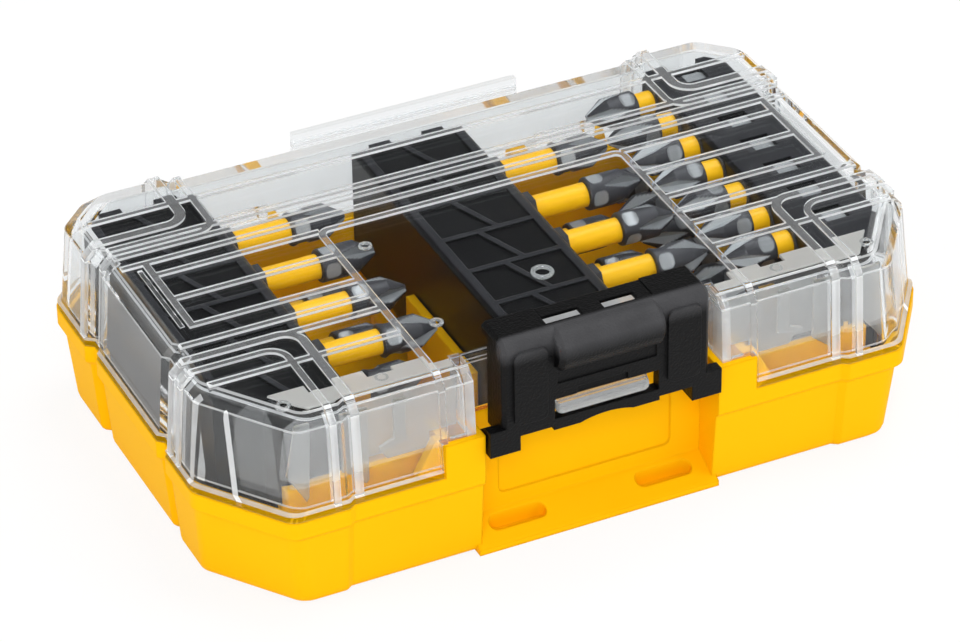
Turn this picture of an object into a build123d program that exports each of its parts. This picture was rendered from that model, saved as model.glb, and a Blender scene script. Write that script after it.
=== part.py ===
from build123d import *
import os
from math import cos, degrees, pi, radians, sin, sqrt, tan

os.makedirs("parts", exist_ok=True)

# Quarter-inch hex bits: 50 mm power bits in the left and centre bars, 32 mm insert bits in the right bar
hex_flats = 6.35
hex_clearance = 0.3
power_bit_count = 4
power_bit_pitch = 14.9
power_bit_length = 50.0
power_bit_reach = 26.0
power_shank_length = 25.5
power_neck_length = 12.0
insert_bit_count = 7
insert_bit_pitch = 10.1
insert_bit_length = 32.0
insert_bit_reach = 15.3
insert_shank_length = 17.0
insert_neck_length = 3.9

# Row of bars and bits along the case, from one side wall to the other
bar_side_room = 6.7
bar_back_wall = 1.0
insert_bar_back_wall = 2.3
finger_room = 9.0
tip_gap = 1.3
bar_width = bar_back_wall + power_bit_length - power_bit_reach
right_bar_width = insert_bar_back_wall + insert_bit_length - insert_bit_reach

# Envelope of the case: X along the long side, Y from the latch side to the hinge side, Z up from the
# table, origin on the table under the middle of the case
case_length = (
    2 * (bar_side_room + bar_width + power_bit_reach)
    + finger_room
    + tip_gap
    + insert_bit_reach
    + right_bar_width
)
case_depth = 98.0
base_height = 22.0
post_height = 29.5
lid_top = 44.0

# Outline of the case: cut corners, raised corner pads and the sections set back between them
front_cut_x = 13.3
front_cut_y = 18.5
rear_cut = 7.0
corner_radius = 4.0
front_pad_width = 13.4
front_pad_x = case_length / 2 - front_cut_x - front_pad_width
front_step = 0.9
rear_step = 2.0
step_run = 1.3
groove_depth = 1.7
groove_width = 3.0
middle_step = 0.4
middle_front_y = -11.5
middle_rear_y = 20.0

# Walls and drafts
base_wall = 2.0
base_floor = 2.0
base_draft = 1.3
rim_flange = 1.1
rim_flange_height = 3.8
foot_bevel = 2.0
foot_steps = 3
lid_wall = 1.6
lid_draft = 1.3
lid_edge = 0.2
lid_lip = 0.7
lid_lip_height = 1.5
lid_bevel = 2.6
seat_gap = 0.3

# Latch bay at the front: posts, recessed panel, stacking shelf with two slots
post_outer_x = 34.0
post_inner_x = 25.5
gusset_reach = 5.0
gusset_tip = 1.0
bay_depth = 9.0
panel_margin = 6.5
panel_relief = 0.5
panel_corner = 1.5
shelf_height = 5.0
shelf_lip = 1.2
slot_length = 12.4
slot_width = 3.0
slot_centre_x = 16.2
slot_depth = 1.6

# Rear hinge: ears on the base, knuckles with moulded pin stubs on the lid
hinge_radius = 2.4
hinge_pin_radius = 1.2
hinge_clearance = 0.05
hinge_centre_x = 38.0
knuckle_length = 14.0
ear_length = 3.5
part_gap = 0.3
overhang = 4.0
hinge_y = case_depth / 2 + overhang - hinge_radius
hinge_z = base_height

# Latch: plate, cheeks, top flange, window, thumb roll, pivots
latch_face_width = 44.8
latch_plate = 2.4
latch_stand_off = 0.6
latch_face_y = -case_depth / 2 - latch_stand_off
latch_pivot_z = 27.0
latch_pivot_y = -case_depth / 2 + 3.0
latch_pivot_radius = 1.3
latch_foot_radius = 2.2
latch_cheek = 2.0
latch_cheek_depth = 7.0
latch_top = 50.2
latch_flange = 2.2
latch_flange_gap = 0.2
latch_bottom = 28.2
latch_drop = 0.9
latch_drop_width = 23.0
latch_foot_length = 6.5
latch_edge_radius = 2.5
latch_side_bevel = 0.8
window_width = 22.6
window_height = 4.6
window_bottom = 29.9
window_recess_width = 11.0
window_recess_height = 1.6
window_recess_x = -1.0
catch_length = 20.0
catch_height = 3.0
catch_corner = 1.0
catch_gap = 0.3
roll_width = 23.0
roll_radius = 4.6
roll_wall = 1.0
roll_end_bevel = 1.0
side_pad_width = 7.2
side_pad_height = 16.6
side_pad_x = 16.6
side_pad_corner = 1.4
side_pad_lift = 1.6
side_pad_relief = 0.6
plate_width = 21.5
plate_height = 5.6
plate_lift = 3.5

# Ridges of the lid: frame of the centre pad, ribs from it to the side rails, ribs across the rear, and
# bands that turn round each corner pad and run down over the edges; upright tongue at the rear
rib_height = 0.6
rib_width = 1.4
rib_corner = 2.0
centre_pad_x = 33.8
centre_pad_rear_y = 11.3
side_rail_setback = 10.6
side_rail_front_y = -8.8
side_rail_rear_y = 16.2
side_slot_width = 1.0
side_slot_depth = 0.6
rail_rib_ys = (2.0, -8.1, 11.3)
pad_rib_ys = (-14.0, -19.0, -28.4)
long_rib_ys = (16.2, 20.4, 23.7, 34.4)
long_rib_setback = 5.5
front_band_step = -1.2
front_band_y = -18.8
front_band_width = 1.9
front_band_corner = 4.0
front_inner_band_step = 3.7
front_inner_band_y = -22.8
rear_band_step = -1.6
rear_band_y = 22.0
rear_inner_band_step = 2.7
rear_inner_band_y = 27.2
rear_inner_band_width = 2.2
tongue_length = 51.0
tongue_height = 3.0
tongue_wall = 1.6
notch_half_width = 26.9
notch_setback = -0.1

# Bit bars
bar_top = 40.2
bar_bottom = 12.0
left_bar_face_x = bar_side_room + bar_width - case_length / 2
centre_bar_face_x = left_bar_face_x + power_bit_reach + finger_room + bar_width
right_bar_face_x = case_length / 2 - bar_side_room - right_bar_width
bar_front_room = 12.0
bar_rear_room = 7.6
bar_front_y = bar_front_room - case_depth / 2
bar_rear_y = case_depth / 2 - bar_rear_room
bar_corner_inset = 5.0
bar_window_width = 5.0
bar_window_length = 6.5
bar_tab_width = 4.7
bar_tab_pitch = 12.0
bar_tab_reach = 1.0
bar_tab_height = 3.0
bar_edge_radius = 1.2
bar_panel_relief = 0.4
bar_panel_margin = 2.6
bar_panel_rows = 6
bar_rib_width = 1.3
bar_rib_slope = 70.0
cradle_wall = 1.8
cradle_height = 23.0
cradle_rib_count = 3
cradle_guide = 2.5

# Rows of bits in the bars, and the ground ends of the bits
upper_row_z = 36.0
lower_row_z = 20.5
power_bit_end_room = 18.0
insert_bit_end_room = 13.4
power_bit_front_y = bar_front_y + power_bit_end_room
insert_bit_front_y = bar_front_y + insert_bit_end_room
neck_radius = 1.9
sleeve_radius = 2.6
collar_radius = 3.5
collar_sides = 12
tip_cone_length = 4.2
tip_end_radius = 0.9
flute_count = 4
flute_core = 0.4
flute_slope = 0.33


def case_points(inset):
    """Corners of the case outline at an inset: right half from front to rear, then its mirror image."""
    half_x = case_length / 2 - inset
    half_y = case_depth / 2 - inset
    groove_x = half_x - groove_depth
    front_groove_y = middle_front_y - step_run - groove_width
    rear_groove_y = middle_rear_y + step_run + groove_width
    right = [
        (front_pad_x, front_step - half_y),
        (front_pad_x + step_run, -half_y),
        (half_x - front_cut_x, -half_y),
        (half_x, front_cut_y - half_y),
        (half_x, front_groove_y - step_run),
        (groove_x, front_groove_y),
        (groove_x, middle_front_y - step_run),
        (half_x - middle_step, middle_front_y),
        (half_x - middle_step, middle_rear_y),
        (groove_x, middle_rear_y + step_run),
        (groove_x, rear_groove_y),
        (half_x, rear_groove_y + step_run),
        (half_x, half_y - rear_cut),
        (half_x - rear_cut, half_y),
        (front_pad_x + step_run, half_y),
        (front_pad_x, half_y - rear_step),
    ]
    return right + [(-x, y) for x, y in reversed(right)]


def is_cut_corner(vertex, inset):
    """True for the two ends of each cut corner of the outline."""
    half_x = case_length / 2 - inset
    half_y = case_depth / 2 - inset
    hair = 0.01
    front = vertex.Y < front_cut_y - half_y + hair and abs(vertex.X) > half_x - front_cut_x - hair
    rear = vertex.Y > half_y - rear_cut - hair and abs(vertex.X) > half_x - rear_cut - hair
    return front or rear


def case_face(inset):
    """Outline of the case at an inset, with its cut corners rounded."""
    with BuildSketch() as outline:
        with BuildLine():
            Polyline(*case_points(inset), close=True)
        make_face()
        fillet([v for v in outline.vertices() if is_cut_corner(v, inset)], radius=corner_radius)
    return outline.sketch


def case_loft(profile):
    """Solid through the case outline at each (height, inset) of a profile."""
    with BuildPart() as body:
        for height, inset in profile:
            with BuildSketch(Plane.XY.offset(height)):
                add(case_face(inset))
        loft(ruled=True)
    return body.part


# Base shell: drafted tub with a rim flange, raised front wall with two posts, latch bay, stacking shelf,
# bar cradles and hinge ears
foot_angles = [pi / 2 * step / foot_steps for step in range(foot_steps + 1)]
foot_curve = [(foot_bevel * (1 - cos(a)), foot_bevel * (1 - sin(a))) for a in foot_angles]
base_outer = [(height, rim_flange + base_draft + inset) for height, inset in foot_curve] + [
    (base_height - rim_flange_height - rim_flange, rim_flange),
    (base_height - rim_flange_height, 0),
    (base_height, 0),
]
base_inner = [
    (base_floor, rim_flange + base_draft + base_wall),
    (base_height, rim_flange + base_wall),
]
rim_front_y = front_step - case_depth / 2
bay_y = bay_depth - case_depth / 2
bay_inner_y = bay_y + base_wall
gusset_y = (bay_y + rim_front_y) / 2
power_bit_ys = [power_bit_front_y + i * power_bit_pitch for i in range(power_bit_count)]
insert_bit_ys = [insert_bit_front_y + i * insert_bit_pitch for i in range(insert_bit_count)]
left_bar_span = (left_bar_face_x - bar_width, left_bar_face_x)
centre_bar_span = (centre_bar_face_x - bar_width, centre_bar_face_x)
right_bar_span = (right_bar_face_x, right_bar_face_x + right_bar_width)
knuckle_half = knuckle_length / 2
ear_centre = knuckle_half + part_gap + ear_length / 2
hinge_bore_radius = hinge_pin_radius + hinge_clearance

with BuildPart() as base_shell:
    add(case_loft(base_outer))
    add(case_loft(base_inner), mode=Mode.SUBTRACT)
    # Wall round the latch bay, with a hollow post on each side
    with BuildSketch() as front_wall:
        with Locations((0, (rim_front_y + bay_inner_y) / 2)):
            Rectangle(2 * post_outer_x, bay_inner_y - rim_front_y)
        post_hollow = post_outer_x - post_inner_x - 2 * base_wall
        with Locations((0, bay_inner_y)):
            with GridLocations(2 * (post_inner_x + base_wall) + post_hollow, 0, 2, 1):
                Rectangle(post_hollow, 2 * (bay_inner_y - rim_front_y - base_wall), mode=Mode.SUBTRACT)
    extrude(amount=post_height)
    with BuildSketch():
        with Locations((0, bay_y - bay_depth / 2 - overhang / 2)):
            Rectangle(2 * post_inner_x, bay_depth + overhang)
    extrude(amount=post_height, mode=Mode.SUBTRACT)
    # Foot of the raised wall drawn in to the draft of the tub
    with BuildSketch(Plane.YZ):
        with BuildLine():
            Polyline(
                (rim_front_y, 0),
                *[(rim_front_y + rim_flange + base_draft + inset, height) for height, inset in foot_curve],
                (rim_front_y + rim_flange, base_height - rim_flange_height - rim_flange),
                (rim_front_y, base_height - rim_flange_height),
                close=True,
            )
        make_face()
    extrude(amount=post_outer_x, both=True, mode=Mode.SUBTRACT)
    # Shallow sunk panel in the bay
    with BuildSketch(Plane.XZ.offset(-bay_y)):
        with Locations((0, (shelf_height + panel_margin / 2 + latch_pivot_z) / 2)):
            RectangleRounded(
                2 * (post_inner_x - panel_margin),
                latch_pivot_z - shelf_height - panel_margin / 2,
                panel_corner,
            )
    extrude(amount=-panel_relief, mode=Mode.SUBTRACT)
    # Sloping stacking shelf with its two slots
    with BuildSketch(Plane.YZ):
        with BuildLine():
            Polyline(
                (bay_y + base_wall / 2, 0),
                (bay_y + base_wall / 2, shelf_height),
                (bay_y, shelf_height),
                (bay_y - bay_depth + foot_bevel, shelf_lip),
                (bay_y - bay_depth + foot_bevel, 0),
                close=True,
            )
        make_face()
    extrude(amount=post_inner_x + base_wall / 2, both=True)
    with BuildSketch(Plane.XY.offset(shelf_height)):
        with Locations((0, bay_y - bay_depth / 2 + foot_bevel)):
            with GridLocations(2 * slot_centre_x, 0, 2, 1):
                SlotOverall(slot_length, slot_width)
    extrude(amount=-shelf_height / 2 - slot_depth, mode=Mode.SUBTRACT)
    # Cradle ribs across the floor under each bar, with a guide at each end
    for low, high in (left_bar_span, centre_bar_span, right_bar_span):
        middle = (low + high) / 2
        bar_middle_y = (bar_front_y + bar_rear_y) / 2
        rib_pitch = (bar_rear_y - bar_front_y) / cradle_rib_count
        guide_width = high - low + 2 * (seat_gap + cradle_wall)
        with BuildSketch(Plane.XY.offset(base_floor)):
            with Locations((middle, bar_middle_y)):
                with GridLocations(0, rib_pitch, 1, cradle_rib_count):
                    Rectangle(guide_width, cradle_wall)
        extrude(amount=bar_bottom + cradle_guide - base_floor)
        with BuildSketch(Plane.XY.offset(bar_bottom)):
            with Locations((middle, bar_middle_y)):
                Rectangle(high - low + 2 * seat_gap, bar_rear_y - bar_front_y)
            add(case_face(bar_corner_inset - seat_gap), mode=Mode.INTERSECT)
        extrude(amount=2 * cradle_guide, mode=Mode.SUBTRACT)
    # End walls that the left and right bars butt against, and the wall beside the centre bar
    cradle_wall_y = bar_front_y - seat_gap - cradle_wall / 2
    cradle_outer_x = case_length / 2 - front_cut_x - base_wall - rim_flange
    with BuildSketch(Plane.XY.offset(base_floor)):
        with Locations((0, cradle_wall_y)):
            with GridLocations(cradle_outer_x + post_outer_x, 0, 2, 1):
                Rectangle(cradle_outer_x - post_outer_x, cradle_wall)
    extrude(amount=cradle_height - base_floor)
    side_wall_length = 2 * power_bit_pitch
    with BuildSketch(Plane.XY.offset(base_floor)):
        with Locations((centre_bar_span[0] - seat_gap - cradle_wall / 2, power_bit_ys[1])):
            Rectangle(cradle_wall, side_wall_length)
    extrude(amount=cradle_height - base_floor)
    # Gussets on the outer sides of the posts
    for side in (-1, 1):
        with BuildSketch(Plane.XZ.offset(-gusset_y)):
            with BuildLine():
                Polyline(
                    (side * (post_outer_x - base_wall / 2), post_height),
                    (side * (post_outer_x + gusset_tip), post_height),
                    (side * (post_outer_x + gusset_reach), base_height),
                    (side * (post_outer_x - base_wall / 2), base_height - gusset_reach),
                    close=True,
                )
            make_face()
        extrude(amount=base_wall / 2, both=True)
    # Hinge ears
    ear_foot_y = case_depth / 2 - rear_step - base_wall / 2
    for x in [side * (hinge_centre_x + end * ear_centre) for side in (-1, 1) for end in (-1, 1)]:
        with BuildSketch(Plane.YZ.offset(x)):
            with Locations((hinge_y, hinge_z)):
                Circle(hinge_radius)
            with BuildLine():
                Polyline(
                    (ear_foot_y, hinge_z),
                    (hinge_y, hinge_z),
                    (hinge_y + hinge_radius * cos(pi / 4), hinge_z - hinge_radius * sin(pi / 4)),
                    (ear_foot_y, hinge_z - rim_flange_height - 2 * hinge_radius),
                    close=True,
                )
            make_face()
        extrude(amount=ear_length / 2, both=True)
    with BuildSketch(Plane.YZ):
        with Locations((hinge_y, hinge_z)):
            Circle(hinge_bore_radius)
    extrude(amount=case_length / 2, both=True, mode=Mode.SUBTRACT)
    # Bores for the latch pivots through the inner walls of the posts
    with BuildSketch(Plane.YZ):
        with Locations((latch_pivot_y, latch_pivot_z)):
            Circle(latch_pivot_radius + hinge_clearance)
    extrude(amount=post_inner_x + base_wall, both=True, mode=Mode.SUBTRACT)
base_shell.part.label = "base_shell"
export_step(base_shell.part, "parts/base_shell.step")

# Clear lid: shell with a lip at its edge and a bevel round its top, cut back for the latch
lid_wall_inset = lid_edge + lid_lip
lid_outer = [
    (base_height, lid_edge),
    (base_height + lid_lip_height, lid_edge),
    (base_height + lid_lip_height + lid_lip / 2, lid_wall_inset),
    (lid_top - lid_bevel, lid_wall_inset + lid_draft),
    (lid_top, lid_wall_inset + lid_draft + lid_bevel),
]
lid_inner = [
    (base_height, lid_wall_inset + lid_wall),
    (lid_top - lid_wall - lid_bevel, lid_wall_inset + lid_draft + lid_wall),
    (lid_top - lid_wall, lid_wall_inset + lid_draft + lid_wall + lid_bevel),
]
notch_y = bay_y - notch_setback
latch_back_y = latch_face_y + latch_plate
catch_bottom = window_bottom + (window_height - catch_height) / 2

with BuildPart() as lid_hollow:
    add(case_loft(lid_inner))
    with BuildSketch(Plane.XY.offset(base_height)):
        with Locations((0, notch_y + lid_wall - bay_depth)):
            Rectangle(2 * (notch_half_width + lid_wall), 2 * bay_depth)
    extrude(amount=lid_top, mode=Mode.SUBTRACT)

ridge_foot = base_height + lid_lip_height + lid_lip / 2
ridge_skin = [
    (ridge_foot, lid_wall_inset - rib_height),
    (lid_top - lid_bevel + rib_height, lid_wall_inset + lid_draft - rib_height),
    (lid_top + rib_height, lid_wall_inset + lid_draft + lid_bevel - rib_height),
]


def corner_band(x, y, width):
    """Plan of the band round one corner pad: a rounded frame whose inner corner is at x, y."""
    side = 1 if x > 0 else -1
    end = 1 if y > 0 else -1
    with BuildSketch() as band:
        with Locations((x + side * case_depth / 2, y + end * case_depth / 2)):
            RectangleRounded(case_depth + width, case_depth + width, front_band_corner + width / 2)
            RectangleRounded(
                case_depth - width, case_depth - width, front_band_corner - width / 2, mode=Mode.SUBTRACT
            )
    return band.sketch


def pad_frame(width):
    """Rounded outline of the centre pad, grown by a width on every side."""
    with BuildSketch() as frame:
        with Locations((0, centre_pad_rear_y - case_depth / 2)):
            RectangleRounded(2 * (centre_pad_x + width), case_depth + 2 * width, rib_corner + width)
    return frame.sketch


with BuildPart() as lid_ridges:
    add(case_loft(ridge_skin))
    with BuildSketch(Plane.XY.offset(ridge_foot)):
        side_rail_x = case_length / 2 - side_rail_setback
        add(pad_frame(rib_width / 2))
        add(pad_frame(-rib_width / 2), mode=Mode.SUBTRACT)
        for side in (-1, 1):
            with Locations([(side * (side_rail_x + centre_pad_x) / 2, y) for y in rail_rib_ys]):
                Rectangle(side_rail_x - centre_pad_x, rib_width)
            with Locations((side * side_rail_x, (side_rail_front_y + side_rail_rear_y) / 2)):
                Rectangle(rib_width, side_rail_rear_y - side_rail_front_y)
            pad_end_x = case_length / 2 - long_rib_setback
            with Locations([(side * (pad_end_x + centre_pad_x) / 2, y) for y in pad_rib_ys]):
                Rectangle(pad_end_x - centre_pad_x, rib_width)
            add(corner_band(side * (front_pad_x + front_band_step), front_band_y, front_band_width))
            add(corner_band(side * (front_pad_x + front_inner_band_step), front_inner_band_y, rib_width))
            add(corner_band(side * (front_pad_x + rear_band_step), rear_band_y, rib_width))
            add(
                corner_band(
                    side * (front_pad_x + rear_inner_band_step), rear_inner_band_y, rear_inner_band_width
                )
            )
        with Locations([(0, y) for y in long_rib_ys]):
            Rectangle(case_length - 2 * long_rib_setback, rib_width)
    extrude(amount=lid_top, mode=Mode.INTERSECT)

with BuildPart() as lid:
    add(case_loft(lid_outer))
    add(lid_ridges.part)
    add(lid_hollow.part, mode=Mode.SUBTRACT)
    # Slots outside the side rails
    with BuildSketch(Plane.XY.offset(lid_top)):
        with Locations((0, (side_rail_front_y + side_rail_rear_y) / 2)):
            with GridLocations(2 * (side_rail_x + rib_width / 2 + side_slot_width), 0, 2, 1):
                Rectangle(side_slot_width, side_rail_rear_y - side_rail_front_y - 2 * rib_width)
    extrude(amount=-side_slot_depth, mode=Mode.SUBTRACT)
    with BuildSketch(Plane.XY.offset(base_height)):
        with Locations((0, notch_y - bay_depth)):
            Rectangle(2 * notch_half_width, 2 * bay_depth)
    extrude(amount=lid_top, mode=Mode.SUBTRACT)
    with BuildSketch(Plane.XY.offset(base_height)):
        with Locations((0, bay_inner_y + part_gap - bay_depth)):
            Rectangle(2 * (post_outer_x + part_gap), 2 * bay_depth)
    extrude(amount=post_height - base_height, mode=Mode.SUBTRACT)
    # Catch bar that shows in the latch window
    with BuildSketch(Plane.XZ.offset(-notch_y)):
        with Locations((0, catch_bottom + catch_height / 2)):
            RectangleRounded(catch_length, catch_height, catch_corner)
    extrude(amount=notch_y - latch_back_y - catch_gap)
    # Upright tongue along the middle of the rear edge
    with BuildSketch(Plane.XY.offset(lid_top - lid_bevel - lid_wall)):
        with Locations((0, case_depth / 2 - rear_step - lid_wall_inset - lid_draft - tongue_wall / 2)):
            Rectangle(tongue_length, tongue_wall)
    extrude(amount=tongue_height + lid_bevel + lid_wall)
    # Hinge knuckles with their arms and pin stubs
    for side in (-1, 1):
        with BuildSketch(Plane.YZ.offset(side * hinge_centre_x)):
            with Locations((hinge_y, hinge_z)):
                Circle(hinge_radius)
            arm_foot_y = case_depth / 2 - rear_step - lid_wall_inset - lid_wall / 2
            with BuildLine():
                Polyline(
                    (arm_foot_y, hinge_z + part_gap),
                    (hinge_y, hinge_z + part_gap),
                    (hinge_y + hinge_radius * cos(pi / 4), hinge_z + hinge_radius * sin(pi / 4)),
                    (arm_foot_y, hinge_z + rim_flange_height + 2 * hinge_radius),
                    close=True,
                )
            make_face()
        extrude(amount=knuckle_half, both=True)
        with BuildSketch(Plane.YZ.offset(side * hinge_centre_x)):
            with Locations((hinge_y, hinge_z)):
                Circle(hinge_pin_radius)
        extrude(amount=ear_centre + ear_length / 2, both=True)
lid.part.label = "lid"
export_step(lid.part, "parts/lid.step")

# Latch: bent plate over the lid edge, hung on two pivots between the posts
flange_back_y = notch_y - latch_flange_gap
roll_y = -case_depth / 2 - overhang + roll_radius
roll_z = latch_top - roll_radius
roll_back_y = latch_back_y + roll_wall
foot_outer_x = post_inner_x - part_gap
face_half = latch_face_width / 2

with BuildPart() as thumb_roll:
    with BuildSketch(Plane.YZ):
        with Locations((roll_y, roll_z)):
            Circle(roll_radius)
        with Locations((roll_back_y + roll_radius, roll_z)):
            Rectangle(2 * roll_radius, 2 * roll_radius, mode=Mode.SUBTRACT)
    extrude(amount=roll_width / 2, both=True)
    chamfer(thumb_roll.edges().filter_by(GeomType.CIRCLE), length=roll_end_bevel)

with BuildPart() as latch:
    with BuildSketch(Plane.YZ) as section:
        with BuildLine():
            Polyline(
                (latch_face_y, latch_bottom),
                (latch_face_y, latch_top),
                (flange_back_y, latch_top),
                (flange_back_y, latch_top - latch_flange),
                (latch_back_y, latch_top - latch_flange),
                (latch_back_y, latch_bottom),
                close=True,
            )
        make_face()
        fillet(section.vertices().group_by(Axis.X)[0].sort_by(Axis.Y)[-1], radius=latch_edge_radius)
    extrude(amount=face_half, both=True)
    chamfer(latch.edges().filter_by(Axis.Z).group_by(Axis.Y)[0], length=latch_side_bevel)
    # Thumb roll standing out of the top edge, flat at the back
    add(thumb_roll.part)
    # Opening in the flange behind the roll
    with BuildSketch(Plane.XY.offset(latch_top)):
        with Locations((0, flange_back_y)):
            Rectangle(roll_width, 2 * (flange_back_y - roll_back_y))
    extrude(amount=-latch_flange, mode=Mode.SUBTRACT)
    # Cheeks down both sides, with a foot and a pivot stub at the bottom of each
    for side in (-1, 1):
        with BuildSketch(Plane.YZ.offset(side * (face_half - latch_cheek / 2))):
            with BuildLine():
                Polyline(
                    (latch_back_y - latch_plate / 2, latch_bottom),
                    (latch_back_y - latch_plate / 2, latch_top - latch_flange / 2),
                    (latch_face_y + latch_cheek_depth, latch_top - latch_flange / 2),
                    (latch_face_y + latch_cheek_depth, latch_bottom),
                    close=True,
                )
            make_face()
        extrude(amount=latch_cheek / 2, both=True)
        foot_middle = side * (foot_outer_x - latch_foot_length / 2)
        with BuildSketch(Plane.YZ.offset(foot_middle)):
            with Locations((latch_pivot_y, latch_pivot_z)):
                Circle(latch_foot_radius)
            with BuildLine():
                Polyline(
                    (latch_face_y, latch_pivot_z - latch_foot_radius),
                    (latch_face_y, latch_bottom + latch_plate),
                    (latch_back_y, latch_bottom + latch_plate),
                    (latch_pivot_y, latch_pivot_z + latch_foot_radius),
                    (latch_pivot_y, latch_pivot_z - latch_foot_radius),
                    close=True,
                )
            make_face()
        extrude(amount=latch_foot_length / 2, both=True)
        with BuildSketch(Plane.YZ.offset(foot_middle)):
            with Locations((latch_pivot_y, latch_pivot_z)):
                Circle(latch_pivot_radius)
        extrude(amount=side * (latch_foot_length / 2 + part_gap + base_wall))
    # Lower edge: dropped middle with a shallow arch in it
    with BuildSketch(Plane.XZ.offset(-latch_back_y)):
        with BuildLine():
            Polyline(
                (-latch_drop_width / 4, latch_bottom - latch_drop),
                (-latch_drop_width / 2, latch_bottom - latch_drop),
                (-latch_drop_width / 2, latch_bottom + latch_drop),
                (latch_drop_width / 2, latch_bottom + latch_drop),
                (latch_drop_width / 2, latch_bottom - latch_drop),
                (latch_drop_width / 4, latch_bottom - latch_drop),
            )
            ThreePointArc(
                (latch_drop_width / 4, latch_bottom - latch_drop),
                (0, latch_bottom),
                (-latch_drop_width / 4, latch_bottom - latch_drop),
            )
        make_face()
    extrude(amount=latch_plate)
    # Window for the catch bar
    with BuildSketch(Plane.XZ.offset(-latch_back_y)):
        with Locations((0, window_bottom + window_height / 2)):
            Rectangle(window_width, window_height)
        with Locations((window_recess_x, window_bottom + window_height)):
            Rectangle(window_recess_width, 2 * window_recess_height)
    extrude(amount=latch_plate, mode=Mode.SUBTRACT)
    # Raised side pads and the bare sunk plate
    pad_z = (window_bottom + roll_z) / 2 + side_pad_lift
    with BuildSketch(Plane.XZ.offset(-latch_face_y)):
        with Locations((0, pad_z)):
            with GridLocations(2 * side_pad_x, 0, 2, 1):
                RectangleRounded(side_pad_width, side_pad_height, side_pad_corner)
    extrude(amount=side_pad_relief)
    with BuildSketch(Plane.XZ.offset(-latch_face_y)):
        with Locations((0, window_bottom + window_height + plate_lift + plate_height / 2)):
            Rectangle(plate_width, plate_height)
    extrude(amount=-side_pad_relief / 2, mode=Mode.SUBTRACT)
latch.part.label = "latch"
export_step(latch.part, "parts/latch.step")

# Bit bars: blocks with hex sockets in two rows, sunk panels on top and two tabs at the rear end
socket_flats = hex_flats + hex_clearance
hex_radius = hex_flats / 2 / cos(pi / 6)
socket_radius = socket_flats / 2 / cos(pi / 6)
lower_power_ys = [y + power_bit_pitch / 2 for y in power_bit_ys[:-1]]
lower_insert_ys = [y + insert_bit_pitch / 2 for y in insert_bit_ys[:-1]]


def top_panels(middle, width):
    """Sunk panels on top of a bar: rows of two trapezoids with a slanted rib between them."""
    row_pitch = (bar_rear_y - bar_front_y - 2 * bar_panel_margin + bar_rib_width) / bar_panel_rows
    panel_height = row_pitch - bar_rib_width
    slant = panel_height / tan(radians(bar_rib_slope))
    long_side = (width - bar_rib_width + slant) / 2
    with BuildSketch() as panels:
        with Locations((middle, (bar_front_y + bar_rear_y) / 2)):
            with GridLocations(0, row_pitch, 1, bar_panel_rows):
                with Locations(((long_side - width) / 2, 0)):
                    Trapezoid(long_side, panel_height, 90, bar_rib_slope)
                with Locations(((width - long_side) / 2, 0)):
                    Trapezoid(long_side, panel_height, 90, bar_rib_slope, rotation=180)
    return panels.sketch


def bit_bar(face_x, back_x, upper_ys, lower_ys, reach, bit_length, windows):
    """Block between its bit face and its back, with a hex socket for every bit and its top panels."""
    toward = 1 if face_x > back_x else -1
    middle = (face_x + back_x) / 2
    width = abs(face_x - back_x)
    socket_depth = bit_length - reach + hex_clearance
    with BuildPart() as bar:
        with BuildSketch(Plane.XY.offset(bar_bottom)):
            with Locations((middle, (bar_front_y + bar_rear_y) / 2)):
                Rectangle(width, bar_rear_y - bar_front_y)
            add(case_face(bar_corner_inset), mode=Mode.INTERSECT)
        extrude(amount=bar_top - bar_bottom)
        fillet(bar.faces().sort_by(Axis.Z)[-1].edges(), radius=bar_edge_radius)
        face_plane = Plane.YZ.offset(face_x)
        with BuildSketch(face_plane):
            with Locations([(y, upper_row_z) for y in upper_ys] + [(y, lower_row_z) for y in lower_ys]):
                RegularPolygon(socket_radius, 6)
        extrude(amount=-toward * socket_depth, mode=Mode.SUBTRACT)
        with BuildSketch(Plane.XY.offset(bar_top)):
            if windows:
                with Locations([(middle + toward * hex_clearance, y) for y in upper_ys]):
                    Rectangle(bar_window_length, bar_window_width)
            else:
                add(top_panels(middle, width - 2 * bar_panel_margin))
        window_depth = bar_top - upper_row_z if windows else bar_panel_relief
        extrude(amount=-window_depth, mode=Mode.SUBTRACT)
        with BuildSketch(Plane.XY.offset(bar_top - bar_tab_height)):
            with Locations((middle, bar_rear_y)):
                with GridLocations(bar_tab_pitch, 0, 2, 1):
                    Rectangle(bar_tab_width, 2 * bar_tab_reach)
            add(case_face(bar_corner_inset), mode=Mode.INTERSECT)
        extrude(amount=bar_tab_height)
    return bar.part


bars = {
    "left_bit_bar": bit_bar(
        left_bar_span[1], left_bar_span[0], power_bit_ys, lower_power_ys, power_bit_reach,
        power_bit_length, False,
    ),
    "centre_bit_bar": bit_bar(
        centre_bar_span[1], centre_bar_span[0], power_bit_ys, lower_power_ys, power_bit_reach,
        power_bit_length, False,
    ),
    "right_bit_bar": bit_bar(
        right_bar_span[0], right_bar_span[1], insert_bit_ys, lower_insert_ys, insert_bit_reach,
        insert_bit_length, True,
    ),
}
for name, bar in bars.items():
    bar.label = name
    export_step(bar, f"parts/{name}.step")


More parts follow.
